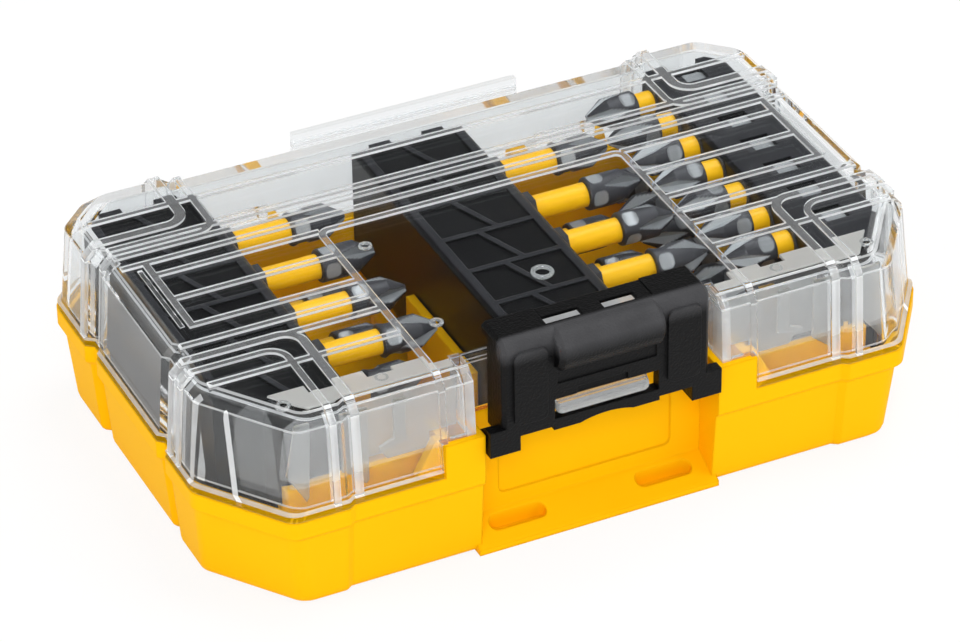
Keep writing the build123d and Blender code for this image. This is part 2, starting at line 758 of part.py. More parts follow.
def driver_bit(tip_x, toward, y, z, bit_length, shank_length, neck_length):
    """Bit along X with its tip at tip_x: hex shank, hex waist, ground collar and a cone cut by flutes."""
    tip_plane = Plane(origin=(tip_x, y, z), x_dir=(0, 1, 0), z_dir=(toward, 0, 0))
    collar_length = bit_length - shank_length - neck_length
    with BuildPart() as bit:
        with BuildSketch(tip_plane.offset(-bit_length)):
            RegularPolygon(hex_radius, 6)
        extrude(amount=shank_length)
        with BuildSketch(tip_plane.offset(shank_length - bit_length)):
            RegularPolygon(neck_radius, 6)
        extrude(amount=neck_length)
        with BuildSketch(tip_plane.offset(-collar_length)):
            RegularPolygon(collar_radius, collar_sides)
        extrude(amount=collar_length - tip_cone_length)
        with BuildSketch(tip_plane.offset(-tip_cone_length)):
            RegularPolygon(collar_radius, collar_sides)
        with BuildSketch(tip_plane):
            RegularPolygon(tip_end_radius, collar_sides)
        loft(ruled=True)
        # Flutes: square-edged grooves that run out into the collar
        flute_reach = flute_core + collar_radius
        for flute in range(flute_count):
            angle = (2 * flute + 1) * pi / flute_count
            outward = tip_plane.x_dir * cos(angle) + tip_plane.y_dir * sin(angle)
            with BuildSketch(tip_plane):
                with Locations((flute_reach * cos(angle), flute_reach * sin(angle))):
                    Rectangle(
                        sqrt(2) * collar_radius, sqrt(2) * collar_radius, rotation=degrees(angle) + 45
                    )
            extrude(
                amount=collar_length, dir=outward * flute_slope - tip_plane.z_dir, mode=Mode.SUBTRACT
            )
    return bit.part


def bit_sleeve(tip_x, toward, y, z, bit_length, shank_length, neck_length):
    """Moulded band round the waist of a bit."""
    start = Plane(origin=(tip_x, y, z), x_dir=(0, 1, 0), z_dir=(toward, 0, 0))
    start = start.offset(shank_length - bit_length)
    with BuildPart() as sleeve:
        with BuildSketch(start):
            Circle(sleeve_radius)
            RegularPolygon(neck_radius, 6, mode=Mode.SUBTRACT)
        extrude(amount=neck_length)
    return sleeve.part


power_sizes = (power_bit_length, power_shank_length, power_neck_length)
insert_sizes = (insert_bit_length, insert_shank_length, insert_neck_length)
bit_rows = {
    "left_upper": (left_bar_span[1] + power_bit_reach, 1, power_bit_ys, upper_row_z, power_sizes),
    "left_lower": (left_bar_span[1] + power_bit_reach, 1, lower_power_ys, lower_row_z, power_sizes),
    "centre_upper": (centre_bar_span[1] + power_bit_reach, 1, power_bit_ys, upper_row_z, power_sizes),
    "centre_lower": (centre_bar_span[1] + power_bit_reach, 1, lower_power_ys, lower_row_z, power_sizes),
    "right_upper": (right_bar_span[0] - insert_bit_reach, -1, insert_bit_ys, upper_row_z, insert_sizes),
    "right_lower": (right_bar_span[0] - insert_bit_reach, -1, lower_insert_ys, lower_row_z, insert_sizes),
}
for row, (tip_x, toward, ys, z, sizes) in bit_rows.items():
    for number, y in enumerate(ys, start=1):
        bit = driver_bit(tip_x, toward, y, z, *sizes)
        bit.label = f"{row}_bit_{number}"
        export_step(bit, f"parts/{row}_bit_{number}.step")
    sleeves = Compound([bit_sleeve(tip_x, toward, y, z, *sizes) for y in ys])
    sleeves.label = f"{row}_bands"
    export_step(sleeves, f"parts/{row}_bands.step")
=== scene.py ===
"""A latched case of screwdriver bits: yellow tub, clear lid, black latch, three bit bars and 27 bits."""

from math import cos, pi, radians, sin

import bpy
import numpy as np
from mathutils import Matrix, Vector


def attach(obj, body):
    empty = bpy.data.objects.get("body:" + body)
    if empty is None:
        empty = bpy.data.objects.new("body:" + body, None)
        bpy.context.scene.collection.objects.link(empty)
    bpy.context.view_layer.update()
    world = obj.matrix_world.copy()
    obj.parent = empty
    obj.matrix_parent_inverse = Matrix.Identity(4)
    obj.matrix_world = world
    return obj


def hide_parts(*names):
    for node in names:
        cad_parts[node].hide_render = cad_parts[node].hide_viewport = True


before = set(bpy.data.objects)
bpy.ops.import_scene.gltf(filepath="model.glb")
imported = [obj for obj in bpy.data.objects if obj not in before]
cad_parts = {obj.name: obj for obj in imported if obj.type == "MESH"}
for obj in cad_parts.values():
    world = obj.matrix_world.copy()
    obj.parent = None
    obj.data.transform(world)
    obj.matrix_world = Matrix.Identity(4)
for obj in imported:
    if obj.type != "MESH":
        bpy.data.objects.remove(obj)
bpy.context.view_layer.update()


# Tub of the case: injection-moulded yellow ABS with a satin skin, one piece with its ribs, posts and ears.
# The skin is drawn coarser than it is, 0.4 mm between grains, as a shallow bump that softens the highlights.
MM = 0.001
CLOUD_WIDTH = 25 * MM


def linear(hex_colour):
    """sRGB hex to linear RGBA: each channel is c / 12.92 below 0.04045, else ((c + 0.055) / 1.055) ** 2.4."""
    channels = [int(hex_colour[i:i + 2], 16) / 255 for i in (1, 3, 5)]
    return [c / 12.92 if c <= 0.04045 else ((c + 0.055) / 1.055) ** 2.4 for c in channels] + [1.0]


def add_node(tree, kind, inputs, **settings):
    """Adds one shader node; inputs maps a socket's name or number to a value or to the socket feeding it."""
    node = tree.nodes.new(kind)
    for name, value in settings.items():
        setattr(node, name, value)
    for name, value in inputs.items():
        if isinstance(value, bpy.types.NodeSocket):
            tree.links.new(value, node.inputs[name])
        else:
            node.inputs[name].default_value = value
    return node


def moulded_plastic(name, colour, deep_colour, grain, bump, edge, shader):
    """Moulded plastic: two close colours mixed by broad noise, with its edges rounded to a radius of edge.

    Its skin is noise with the distance grain between its grains, whose height is a quarter of grain times bump.
    """
    material = bpy.data.materials.new(name)
    material.use_nodes = True
    tree = material.node_tree
    tree.nodes.clear()
    place = add_node(tree, "ShaderNodeTexCoord", {}).outputs["Object"]
    cloud = add_node(tree, "ShaderNodeTexNoise", {"Vector": place, "Scale": 1 / CLOUD_WIDTH, "Detail": 2.0})
    tint = add_node(
        tree, "ShaderNodeMix", {0: cloud.outputs["Fac"], 6: linear(colour), 7: linear(deep_colour)},
        data_type="RGBA",
    )
    skin = add_node(tree, "ShaderNodeTexNoise", {"Vector": place, "Scale": 1 / grain, "Detail": 2.0})
    soft_edge = add_node(tree, "ShaderNodeBevel", {"Radius": edge})
    relief = add_node(
        tree, "ShaderNodeBump",
        {"Height": skin.outputs["Fac"], "Strength": bump, "Distance": grain / 4,
         "Normal": soft_edge.outputs["Normal"]},
    )
    body = add_node(
        tree, "ShaderNodeBsdfPrincipled",
        {"Base Color": tint.outputs[2], "Normal": relief.outputs["Normal"], **shader},
    )
    add_node(tree, "ShaderNodeOutputMaterial", {"Surface": body.outputs["BSDF"]})
    return material


def dress(node_name, material):
    """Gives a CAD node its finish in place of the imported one."""
    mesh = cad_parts[node_name].data
    mesh.materials.clear()
    mesh.materials.append(material)


yellow_abs = moulded_plastic(
    "satin_moulded_yellow_abs", "#FEC005", "#FDBB03",
    grain=0.4 * MM, bump=0.1, edge=0.7 * MM,
    shader={"Roughness": 0.5, "IOR": 1.54, "Specular IOR Level": 0.03},
)
dress("base_shell", yellow_abs)


# Bit bars: black polypropylene blocks that drop into the cradles of the tub, glossy in their sunk panels. The ribs
# between them, whose tops stand above 40.1 mm, carry a painted sheen: a greyer colour for the light they catch.
# Width of the streaks in the painted sheen.
SHEEN_STREAK = 6 * MM
# Heights over which the painted sheen on the rib tops fades in.
RIB_SHEEN_Z = (40.1 * MM, 40.15 * MM)


def painted_sheen_above(material, low, high, colour, deep_colour, behind=None):
    """Mixes the material's colour towards a painted sheen: none of it below low and all of it above high.

    The sheen is a lighter colour standing for light on the upper faces. Where behind is given, there is none of it
    further back than that y. Its colour is two close colours mixed by streaks of noise.
    """
    tree = material.node_tree
    body = next(n for n in tree.nodes if n.type == "BSDF_PRINCIPLED")
    plain = body.inputs["Base Color"].links[0].from_socket
    place = add_node(tree, "ShaderNodeTexCoord", {}).outputs["Object"]
    axes = add_node(tree, "ShaderNodeSeparateXYZ", {0: place})
    above = add_node(tree, "ShaderNodeMapRange", {"Value": axes.outputs["Z"], "From Min": low, "From Max": high})
    share = above.outputs["Result"]
    if behind is not None:
        front = add_node(
            tree, "ShaderNodeMapRange", {"Value": axes.outputs["Y"], "From Min": behind, "From Max": behind - MM}
        )
        share = add_node(
            tree, "ShaderNodeMath", {0: share, 1: front.outputs["Result"]}, operation="MULTIPLY"
        ).outputs[0]
    streaks = add_node(tree, "ShaderNodeTexNoise", {"Vector": place, "Scale": 1 / SHEEN_STREAK})
    sheen_tint = add_node(
        tree, "ShaderNodeMix", {0: streaks.outputs["Fac"], 6: linear(colour), 7: linear(deep_colour)},
        data_type="RGBA",
    )
    tint = add_node(tree, "ShaderNodeMix", {0: share, 6: plain, 7: sheen_tint.outputs[2]}, data_type="RGBA")
    tree.links.new(tint.outputs[2], body.inputs["Base Color"])


black_polypropylene = moulded_plastic(
    "smooth_black_polypropylene", "#060607", "#0B0B0D",
    grain=0.5 * MM, bump=0.1, edge=0.4 * MM,
    shader={"Roughness": 0.3, "IOR": 1.49, "Specular IOR Level": 0.25},
)
# Painted sheen: the rib tops of the bars are coloured greyer to stand for the light they catch.
painted_sheen_above(black_polypropylene, *RIB_SHEEN_Z, "#343437", "#232326")
for bar_name in ("left_bit_bar", "centre_bit_bar", "right_bit_bar"):
    dress(bar_name, black_polypropylene)


# Bits: quarter-inch hex bars of tool steel, blackened all over and then ground bright in the four flutes of
# the tip and on the flats behind them, so they show both dull and shining faces. They push into the bars,
# each turned its own way. Sizes are in millimetres.
HEX_FLATS = 6.35
WAIST = 1.9
COLLAR = 3.5
TIP_END = 0.9
TIP_CONE = 4.2
FLUTE_CORE = 0.4
FLUTE_SLOPE = 0.33
FLAT_REACH = 3.02
FLAT_LENGTH = 3.4
FLAT_RISE = 0.5
EDGE = 0.6
NARROWEST_OPENING = 0.02
GROUND_DEPTH = 0.12
END_BEVEL = 0.9
AROUND = 96
HEAD_ROWS = 64
SHARP_EDGE = radians(28)
bit_steel = moulded_plastic(
    "blackened_tool_steel_ground_bright", "#47474B", "#3A3A3E",
    grain=0.3 * MM, bump=0.15, edge=0.1 * MM,
    shader={"Roughness": 0.45, "Metallic": 0.4},
)
tree = bit_steel.node_tree
steel_body = next(n for n in tree.nodes if n.type == "BSDF_PRINCIPLED")
ground_share = add_node(tree, "ShaderNodeAttribute", {}, attribute_name="ground").outputs["Fac"]
steel_tint = add_node(
    tree, "ShaderNodeMix",
    {0: ground_share, 6: steel_body.inputs["Base Color"].links[0].from_socket, 7: linear("#B9BCBE")},
    data_type="RGBA",
)
tree.links.new(steel_tint.outputs[2], steel_body.inputs["Base Color"])


def add_piece(name, mesh, material):
    """Object with that mesh and finish, at the origin and unturned, as the CAD's own are."""
    mesh.materials.append(material)
    piece = bpy.data.objects.new(name, mesh)
    bpy.context.scene.collection.objects.link(piece)
    return piece


def closed_tube(name, rings, ground):
    """Steel skin through rings of points, one row of the grid each, with flat caps on its first and last ring.

    ground is the share, from 0 to 1, to which each point is ground bright.
    """
    count, around = rings.shape[:2]
    row = np.arange(count * around).reshape(count, around)
    ahead = np.roll(row, -1, axis=1)
    quads = np.stack([row[:-1], row[1:], ahead[1:], ahead[:-1]], axis=-1).reshape(-1, 4)
    mesh = bpy.data.meshes.new(name)
    caps = [row[0].tolist(), row[-1][::-1].tolist()]
    mesh.from_pydata((rings.reshape(-1, 3) * MM).tolist(), [], quads.tolist() + caps)
    mesh.shade_smooth()
    mesh.set_sharp_from_angle(angle=SHARP_EDGE)
    share = mesh.attributes.new("ground", "FLOAT", "POINT")
    share.data.foreach_set("value", np.ascontiguousarray(ground.reshape(-1), dtype=np.float32))
    piece = add_piece(name, mesh, bit_steel)
    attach(piece, "base")
    return piece


def nearest(angle, step, first):
    """Angle from the nearest of the directions first, first + step, and so on round the axis."""
    return (angle - first + step / 2) % step - step / 2


def driver_bit(name, tip, toward, length, shank, neck, flute_share, flat_share, turn):
    """Bit along X as a radius over the distance from its tip and the angle round its axis.

    toward is 1 where the tip points along +X and -1 where it points along -X, and turn is its angle of rotation.
    The head is the least of a cone, a collar with a rounded rear edge, four right-angled flutes whose bottoms
    rise with distance, bottom / (cos d - |sin d|), and four flats between them, reach / cos d, whose reach
    grows with the fourth power of the distance from their middle. Waist and shank are hexagons, half their
    flats / cos of the angle from the nearest flat.
    """
    head = length - shank - neck
    angle = np.linspace(0, 2 * pi, AROUND, endpoint=False)[None, :]
    neck_and_shank = [head, head + neck, head + neck, length - EDGE, length]
    s = np.concatenate([np.linspace(0, head, HEAD_ROWS), neck_and_shank])[:, None]
    cone = TIP_END + (COLLAR - TIP_END) * s / TIP_CONE
    rear = np.clip((s - head + EDGE) / EDGE, 0, 1)
    envelope = np.minimum(cone, COLLAR - EDGE * (1 - np.sqrt(1 - rear ** 2)))
    off_flute = nearest(angle, pi / 2, pi / 4 + turn)
    opening = np.maximum(np.cos(off_flute) - np.abs(np.sin(off_flute)), NARROWEST_OPENING)
    flute = (FLUTE_CORE + FLUTE_SLOPE * s) / opening
    off_wing = nearest(angle, pi / 2, turn)
    flat_middle = head - EDGE - FLAT_LENGTH / 2
    flat = (FLAT_REACH + FLAT_RISE * ((s - flat_middle) / (FLAT_LENGTH / 2)) ** 4) / np.cos(off_wing)
    cut = np.minimum(flute, flat)
    shape = np.minimum(envelope, cut)
    ground = np.clip((envelope - cut) / GROUND_DEPTH, 0, 1) * np.where(flute < flat, flute_share, flat_share)
    hexagon = HEX_FLATS / 2 / np.cos(nearest(angle, pi / 3, pi / 2))
    waist = WAIST * cos(pi / 6) / np.cos(nearest(angle, pi / 3, pi / 2))
    shape[HEAD_ROWS:HEAD_ROWS + 2] = waist
    shape[HEAD_ROWS + 2:] = hexagon
    shape[-1] *= END_BEVEL
    ground[HEAD_ROWS:] = 0.0
    along = tip[0] - toward * s + 0 * angle
    across = tip[1] + shape * np.cos(angle)
    above = tip[2] + toward * shape * np.sin(angle)
    return closed_tube(name, np.stack([along, across, above], axis=-1), ground)


# Length, shank, neck, and how bright the flutes and the flats are ground.
POWER = (50.0, 25.5, 12.0, 0.4, 0.75)
INSERT = (32.0, 17.0, 3.9, 0.9, 0.5)
UPPER_Z = 36.0
LOWER_Z = 20.5
POWER_YS = -19.0 + 14.9 * np.arange(4)
LOWER_POWER_YS = -11.55 + 14.9 * np.arange(3)
INSERT_YS = -23.6 + 10.1 * np.arange(7)
LOWER_INSERT_YS = -18.55 + 10.1 * np.arange(6)
FIRST_TURN = 0.9
TURN_STEP = 1.1
# Name, x of the tips, side to which the tips point, sizes, y of each bit, and height of the row.
bit_rows = (
    ("left_upper", -22.3, 1, POWER, POWER_YS, UPPER_Z),
    ("left_lower", -22.3, 1, POWER, LOWER_POWER_YS, LOWER_Z),
    ("centre_upper", 37.7, 1, POWER, POWER_YS, UPPER_Z),
    ("centre_lower", 37.7, 1, POWER, LOWER_POWER_YS, LOWER_Z),
    ("right_upper", 39.0, -1, INSERT, INSERT_YS, UPPER_Z),
    ("right_lower", 39.0, -1, INSERT, LOWER_INSERT_YS, LOWER_Z),
)
for row_name, tip_x, toward, sizes, row_ys, height in bit_rows:
    for number, bit_y in enumerate(row_ys):
        node_name = f"{row_name}_bit_{number + 1}"
        turn = (FIRST_TURN + TURN_STEP * number) % (pi / 2)
        piece = driver_bit(f"{node_name}_steel", (tip_x, bit_y, height), toward, *sizes, turn)
        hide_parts(node_name)


# Shanks in the right bar: its top has a window over each upper bit, and the bright upper flat of the shank
# shows at the bottom of it. Each is a thin plate on the blackened shank.
SHANK_FLAT = np.array([(62.3, -1.2), (63.0, -1.75), (66.6, -1.75), (66.9, 1.0), (66.0, 1.75), (62.3, 1.75)])
SHANK_TOP_AND_FOOT = (39.3, 38.9)
SHANK_GROUND = 0.75
for number, bit_y in enumerate(INSERT_YS, start=1):
    outline = SHANK_FLAT + (0, bit_y)
    rings = np.stack([np.insert(outline, 2, height, axis=1) for height in SHANK_TOP_AND_FOOT])
    closed_tube(f"right_bar_shank_{number}", rings, np.full(rings.shape[:2], SHANK_GROUND))


# Bands: yellow thermoplastic moulded round the waist of each bit, which marks it and covers its neck. It is a
# little glossier than the tub, with soft ends.
yellow_band = moulded_plastic(
    "moulded_yellow_band", "#FEC40A", "#FDBC06",
    grain=0.4 * MM, bump=0.1, edge=0.4 * MM,
    shader={"Roughness": 0.4, "IOR": 1.5, "Specular IOR Level": 0.3},
)
for node_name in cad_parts:
    if node_name.endswith("bands"):
        dress(node_name, yellow_band)


# Lid: one clear polycarbonate moulding with its own hinge pins. Its top is polished and its walls lightly frosted.
# The white lines along the sides of its ridges, its edges, its lip and the bands on its walls are painted
# highlights, drawn as frosted zones that scatter white. Each zone gives its ranges in millimetres of the distance
# from the middle, of y and of height, and the share of light that it scatters.
ALL_X = (0.0, 90.0)
ALL_Y = (-60.0, 60.0)
RIM_TO_TOP = (22.4, 43.6)
# Zones of real frost on the walls and of painted highlights: the ridge sides, edges, lip and bands are painted
# white lines.
FROST_AND_HIGHLIGHT_ZONES = {
    "sides_of_the_ridges": (ALL_X, ALL_Y, (44.05, 44.55), 0.75),
    "tops_of_the_ridges": (ALL_X, ALL_Y, (44.57, 45.0), 0.14),
    "edge_of_the_top": (ALL_X, ALL_Y, (43.6, 43.9), 0.4),
    "bevel": (ALL_X, ALL_Y, (42.7, 43.5), 0.06),
    "foot_of_the_bevel": (ALL_X, ALL_Y, (41.2, 41.5), 0.4),
    "walls": (ALL_X, ALL_Y, (23.7, 41.2), 0.03),
    "top_of_the_lip": (ALL_X, ALL_Y, (23.4, 23.8), 0.4),
    "edge_of_the_lip": (ALL_X, ALL_Y, (21.0, 22.2), 0.5),
    "front_walls": ((0.0, 66.0), (-60.0, -42.5), (29.0, 41.2), 0.14),
    "front_half_of_the_cut_corner": ((66.4, 72.6), (-60.0, -34.0), (26.5, 41.2), 0.08),
    "rear_walls": ((0.0, 66.0), (42.5, 60.0), (29.0, 41.2), 0.12),
    "sides_of_the_notch": ((26.4, 28.8), (-60.0, -38.0), RIM_TO_TOP, 0.2),
    "top_behind_the_latch": ((0.0, 12.0), (-40.2, -34.5), (43.0, 44.2), 0.5),
    "rib_on_the_cut_corner": ((73.2, 73.9), (-41.5, -34.0), RIM_TO_TOP, 0.6),
    "edge_of_the_cut_corner": ((76.0, 90.0), (-29.4, -28.0), RIM_TO_TOP, 0.4),
    "front_band_on_the_side": ((74.3, 90.0), (-19.75, -17.85), RIM_TO_TOP, 0.35),
    "front_inner_band_on_the_side": ((74.3, 90.0), (-23.5, -22.1), RIM_TO_TOP, 0.35),
    "rear_band_on_the_side": ((74.3, 90.0), (21.3, 22.7), RIM_TO_TOP, 0.35),
    "rear_inner_band_on_the_side": ((74.3, 90.0), (26.1, 28.3), RIM_TO_TOP, 0.35),
    "band_on_the_front": ((51.2, 53.0), (-60.0, -43.2), RIM_TO_TOP, 0.3),
    "inner_band_on_the_front": ((56.3, 57.7), (-60.0, -43.2), RIM_TO_TOP, 0.3),
    "bands_on_the_rear": ((51.0, 52.4), (43.2, 60.0), RIM_TO_TOP, 0.3),
}
SOFT_EDGE = 0.05
LIP_Z = (20.5, 23.3)
LIP_CLEAR = 0.88
FROST_CLOUD = 5 * MM
THINNEST_FROST = 0.75
THICKEST_FROST = 1.25
FULL_FROST = 0.5
POLISHED_ROUGHNESS = 0.03
FROSTED_ROUGHNESS = 0.3
LID_IOR = 1.21


def band_of(tree, value, low, high):
    """1 between low and high millimetres, 0 outside, with a soft edge: a rise to low times a fall from high."""
    rise = add_node(
        tree, "ShaderNodeMapRange", {"Value": value, "From Min": (low - SOFT_EDGE) * MM, "From Max": low * MM}
    )
    fall = add_node(
        tree, "ShaderNodeMapRange",
        {"Value": value, "From Min": high * MM, "From Max": (high + SOFT_EDGE) * MM, "To Min": 1.0,
         "To Max": 0.0},
    )
    return add_node(
        tree, "ShaderNodeMath", {0: rise.outputs["Result"], 1: fall.outputs["Result"]}, operation="MULTIPLY"
    ).outputs[0]


def lid_frost_and_highlights(tree, place):
    """Sum over the zones, real frost and painted highlights alike, of the zone's frosted share inside its ranges
    of distance from the middle, y and z.
    """
    axes = add_node(tree, "ShaderNodeSeparateXYZ", {0: place})
    from_middle = add_node(tree, "ShaderNodeMath", {0: axes.outputs["X"]}, operation="ABSOLUTE").outputs[0]
    total = 0.0
    for across, along, height, share in FROST_AND_HIGHLIGHT_ZONES.values():
        inside = band_of(tree, axes.outputs["Z"], *height)
        for value, limits, everywhere in ((from_middle, across, ALL_X), (axes.outputs["Y"], along, ALL_Y)):
            if limits != everywhere:
                inside = add_node(
                    tree, "ShaderNodeMath", {0: inside, 1: band_of(tree, value, *limits)}, operation="MULTIPLY"
                ).outputs[0]
        total = add_node(
            tree, "ShaderNodeMath", {0: inside, 1: share, 2: total}, operation="MULTIPLY_ADD"
        ).outputs[0]
    return total


def clear_plastic(name):
    """Clear plastic with a transmission of 1 - frosted share * noise, which grows rougher with the share.

    The noise runs from THINNEST_FROST to THICKEST_FROST. Lamps shine straight through the plastic, and so do
    most other rays through its lip, which is too thin to bend them much.
    """
    material = bpy.data.materials.new(name)
    material.use_nodes = True
    tree = material.node_tree
    tree.nodes.clear()
    place = add_node(tree, "ShaderNodeTexCoord", {}).outputs["Object"]
    # The frosted share is real frost on the walls and painted highlights on the ridges, edges, lip and bands.
    share = lid_frost_and_highlights(tree, place)
    cloud = add_node(tree, "ShaderNodeTexNoise", {"Vector": place, "Scale": 1 / FROST_CLOUD, "Detail": 3.0})
    uneven = add_node(
        tree, "ShaderNodeMapRange",
        {"Value": cloud.outputs["Fac"], "To Min": THINNEST_FROST, "To Max": THICKEST_FROST},
    )
    frost = add_node(tree, "ShaderNodeMath", {0: share, 1: uneven.outputs["Result"]}, operation="MULTIPLY")
    clear = add_node(tree, "ShaderNodeMath", {0: 1.0, 1: frost.outputs[0]}, operation="SUBTRACT", use_clamp=True)
    rough = add_node(
        tree, "ShaderNodeMapRange",
        {"Value": share, "From Max": FULL_FROST, "To Min": POLISHED_ROUGHNESS, "To Max": FROSTED_ROUGHNESS},
    )
    body = add_node(
        tree, "ShaderNodeBsdfPrincipled",
        {"Base Color": linear("#F2F4F5"), "Roughness": rough.outputs["Result"], "IOR": LID_IOR,
         "Transmission Weight": clear.outputs[0]},
    )
    straight_through = add_node(tree, "ShaderNodeBsdfTransparent", {"Color": linear("#F4F6F7")})
    ray = add_node(tree, "ShaderNodeLightPath", {})
    height = add_node(tree, "ShaderNodeSeparateXYZ", {0: place}).outputs["Z"]
    lip = add_node(tree, "ShaderNodeMath", {0: band_of(tree, height, *LIP_Z), 1: LIP_CLEAR}, operation="MULTIPLY")
    straight = add_node(
        tree, "ShaderNodeMath", {0: ray.outputs["Is Shadow Ray"], 1: lip.outputs[0]}, operation="MAXIMUM"
    )
    mix = add_node(
        tree, "ShaderNodeMixShader",
        {0: straight.outputs[0], 1: body.outputs["BSDF"], 2: straight_through.outputs["BSDF"]},
    )
    add_node(tree, "ShaderNodeOutputMaterial", {"Surface": mix.outputs["Shader"]})
    return material


dress("lid", clear_plastic("clear_polycarbonate_frosted_with_painted_highlights"))


# Inner ledges of the lid: a strip of the same polycarbonate under each end of its front edge, moulded with it,
# with a stepped rear edge. The milky finish makes it the palest part of the lid.
Y_AXIS, Z_AXIS = 1, 2
THIN_EDGE = 0.2
EDGE_STEPS = 2
milky_polycarbonate = moulded_plastic(
    "milky_moulded_polycarbonate", "#EFEDE9", "#E4E2DE",
    grain=0.6 * MM, bump=0.15, edge=0.2 * MM,
    shader={"Roughness": 0.35, "IOR": 1.3, "Transmission Weight": 0.62},
)


def prism(name, outline, low, high, axis, material, body, edge=THIN_EDGE):
    """Outline of corners in the two axes that follow the given one, carried from low to high along it.

    The outline is reversed where its shoelace sum is below 0, so the faces point outwards.
    """
    outline = np.array(outline, dtype=float)
    ahead = np.roll(outline, -1, axis=0)
    if np.sum(outline[:, 0] * ahead[:, 1] - ahead[:, 0] * outline[:, 1]) < 0:
        outline = outline[::-1]
    count = len(outline)
    rings = np.zeros((2, count, 3))
    rings[:, :, (axis + 1) % 3] = outline[:, 0]
    rings[:, :, (axis + 2) % 3] = outline[:, 1]
    rings[:, :, axis] = np.array([[low], [high]])
    row = np.arange(2 * count).reshape(2, count)
    ahead = np.roll(row, -1, axis=1)
    sides = np.stack([row[0], ahead[0], ahead[1], row[1]], axis=-1)
    mesh = bpy.data.meshes.new(name)
    ends = [row[0][::-1].tolist(), row[1].tolist()]
    mesh.from_pydata((rings.reshape(-1, 3) * MM).tolist(), [], sides.tolist() + ends)
    piece = add_piece(name, mesh, material)
    bevel = piece.modifiers.new("worn_edge", "BEVEL")
    bevel.width = edge * MM
    bevel.segments = EDGE_STEPS
    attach(piece, body)
    return piece


LEDGE_OUTLINE = (
    (28.8, -41.3), (52.6, -41.3), (54.4, -42.1), (59.9, -42.1), (65.2, -34.8), (57.5, -34.8), (57.5, -37.3),
    (52.0, -37.3), (52.0, -35.2), (45.4, -35.2), (45.4, -37.6), (40.0, -37.6), (40.0, -36.2), (33.0, -36.2),
    (33.0, -38.9), (28.8, -38.9),
)
LEDGE_LOW = 41.7
LEDGE_HIGH = 42.45
for side, side_name in ((-1, "left"), (1, "right")):
    prism(
        f"{side_name}_front_ledge", [(side * x, y) for x, y in LEDGE_OUTLINE], LEDGE_LOW, LEDGE_HIGH, Z_AXIS,
        milky_polycarbonate, "lid",
    )


# Hanging panels and blades: thin frosted walls moulded under the front of the lid, which steady the front
# bits: a stepped panel on each side, and in front of it blades with slanted feet. They dim what is behind them.
frosted_polycarbonate = moulded_plastic(
    "frosted_clear_polycarbonate", "#DEDFDC", "#D2D3D1",
    grain=0.6 * MM, bump=0.15, edge=0.2 * MM,
    shader={"Roughness": 0.35, "IOR": 1.3, "Transmission Weight": 0.86},
)
PANEL_OUTLINE = (
    (40.8, 29.2), (30.2, 29.2), (30.2, 35.0), (26.6, 35.0), (26.6, 44.0), (28.2, 45.0), (28.2, 50.0), (40.8, 50.0),
)
PANEL_Y = (-42.5, -41.7)
STEP_OUTLINE = ((40.6, 40.5), (30.8, 40.5), (29.8, 46.2), (30.8, 46.2), (32.0, 43.1), (40.6, 43.1))
BLADE_Y = (-44.0, -43.2)
BLADE_OUTLINES = {
    "left_outer_blade": ((40.6, -63.4), (29.8, -65.2), (23.0, -61.9), (23.9, -61.2), (40.6, -60.5)),
    "left_inner_blade": ((40.6, -54.1), (27.5, -54.1), (23.3, -49.2), (24.0, -48.5), (40.6, -48.5)),
    "right_inner_blade": ((40.6, 48.5), (27.5, 48.5), (23.3, 53.7), (24.0, 54.1), (40.6, 54.1)),
    "right_outer_blade": ((40.6, 58.4), (30.3, 58.4), (23.0, 64.4), (24.0, 65.0), (40.6, 63.4)),
}
for side, side_name in ((-1, "left"), (1, "right")):
    for part_name, outline, limits in (
        ("hanging_panel", PANEL_OUTLINE, PANEL_Y), ("panel_step", STEP_OUTLINE, BLADE_Y),
    ):
        prism(
            f"{side_name}_{part_name}", [(z, side * x) for z, x in outline], *limits, Y_AXIS,
            frosted_polycarbonate, "lid",
        )
for blade_name, outline in BLADE_OUTLINES.items():
    prism(blade_name, outline, *BLADE_Y, Y_AXIS, frosted_polycarbonate, "lid")


# Bosses of the lid: small polished rings of the same polycarbonate, moulded on its underside, which glint: two
# near each ledge, two beside the pad and one larger above the middle bar.
RING_STEPS = 36
WIRE_STEPS = 12
polished_polycarbonate = moulded_plastic(
    "polished_clear_polycarbonate", "#F4F6F6", "#EEF1F1",
    grain=0.6 * MM, bump=0.1, edge=0.2 * MM,
    shader={"Roughness": 0.08, "IOR": 1.45, "Transmission Weight": 0.78},
)


def boss_ring(name, centre, ring_radius, wire_radius):
    """Ring whose skin is the circle of the wire carried round the circle of the ring."""
    around, about = np.meshgrid(
        np.linspace(0, 2 * pi, RING_STEPS, endpoint=False), np.linspace(0, 2 * pi, WIRE_STEPS, endpoint=False),
        indexing="ij",
    )
    reach = ring_radius + wire_radius * np.cos(about)
    points = np.stack(
        [centre[0] + reach * np.cos(around), centre[1] + reach * np.sin(around),
         centre[2] + wire_radius * np.sin(about)],
        axis=-1,
    )
    row = np.arange(RING_STEPS * WIRE_STEPS).reshape(RING_STEPS, WIRE_STEPS)
    ahead, above = np.roll(row, -1, axis=0), np.roll(row, -1, axis=1)
    quads = np.stack([row, ahead, np.roll(ahead, -1, axis=1), above], axis=-1).reshape(-1, 4)
    mesh = bpy.data.meshes.new(name)
    mesh.from_pydata((points.reshape(-1, 3) * MM).tolist(), [], quads.tolist())
    mesh.shade_smooth()
    ring = add_piece(name, mesh, polished_polycarbonate)
    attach(ring, "lid")
    return ring


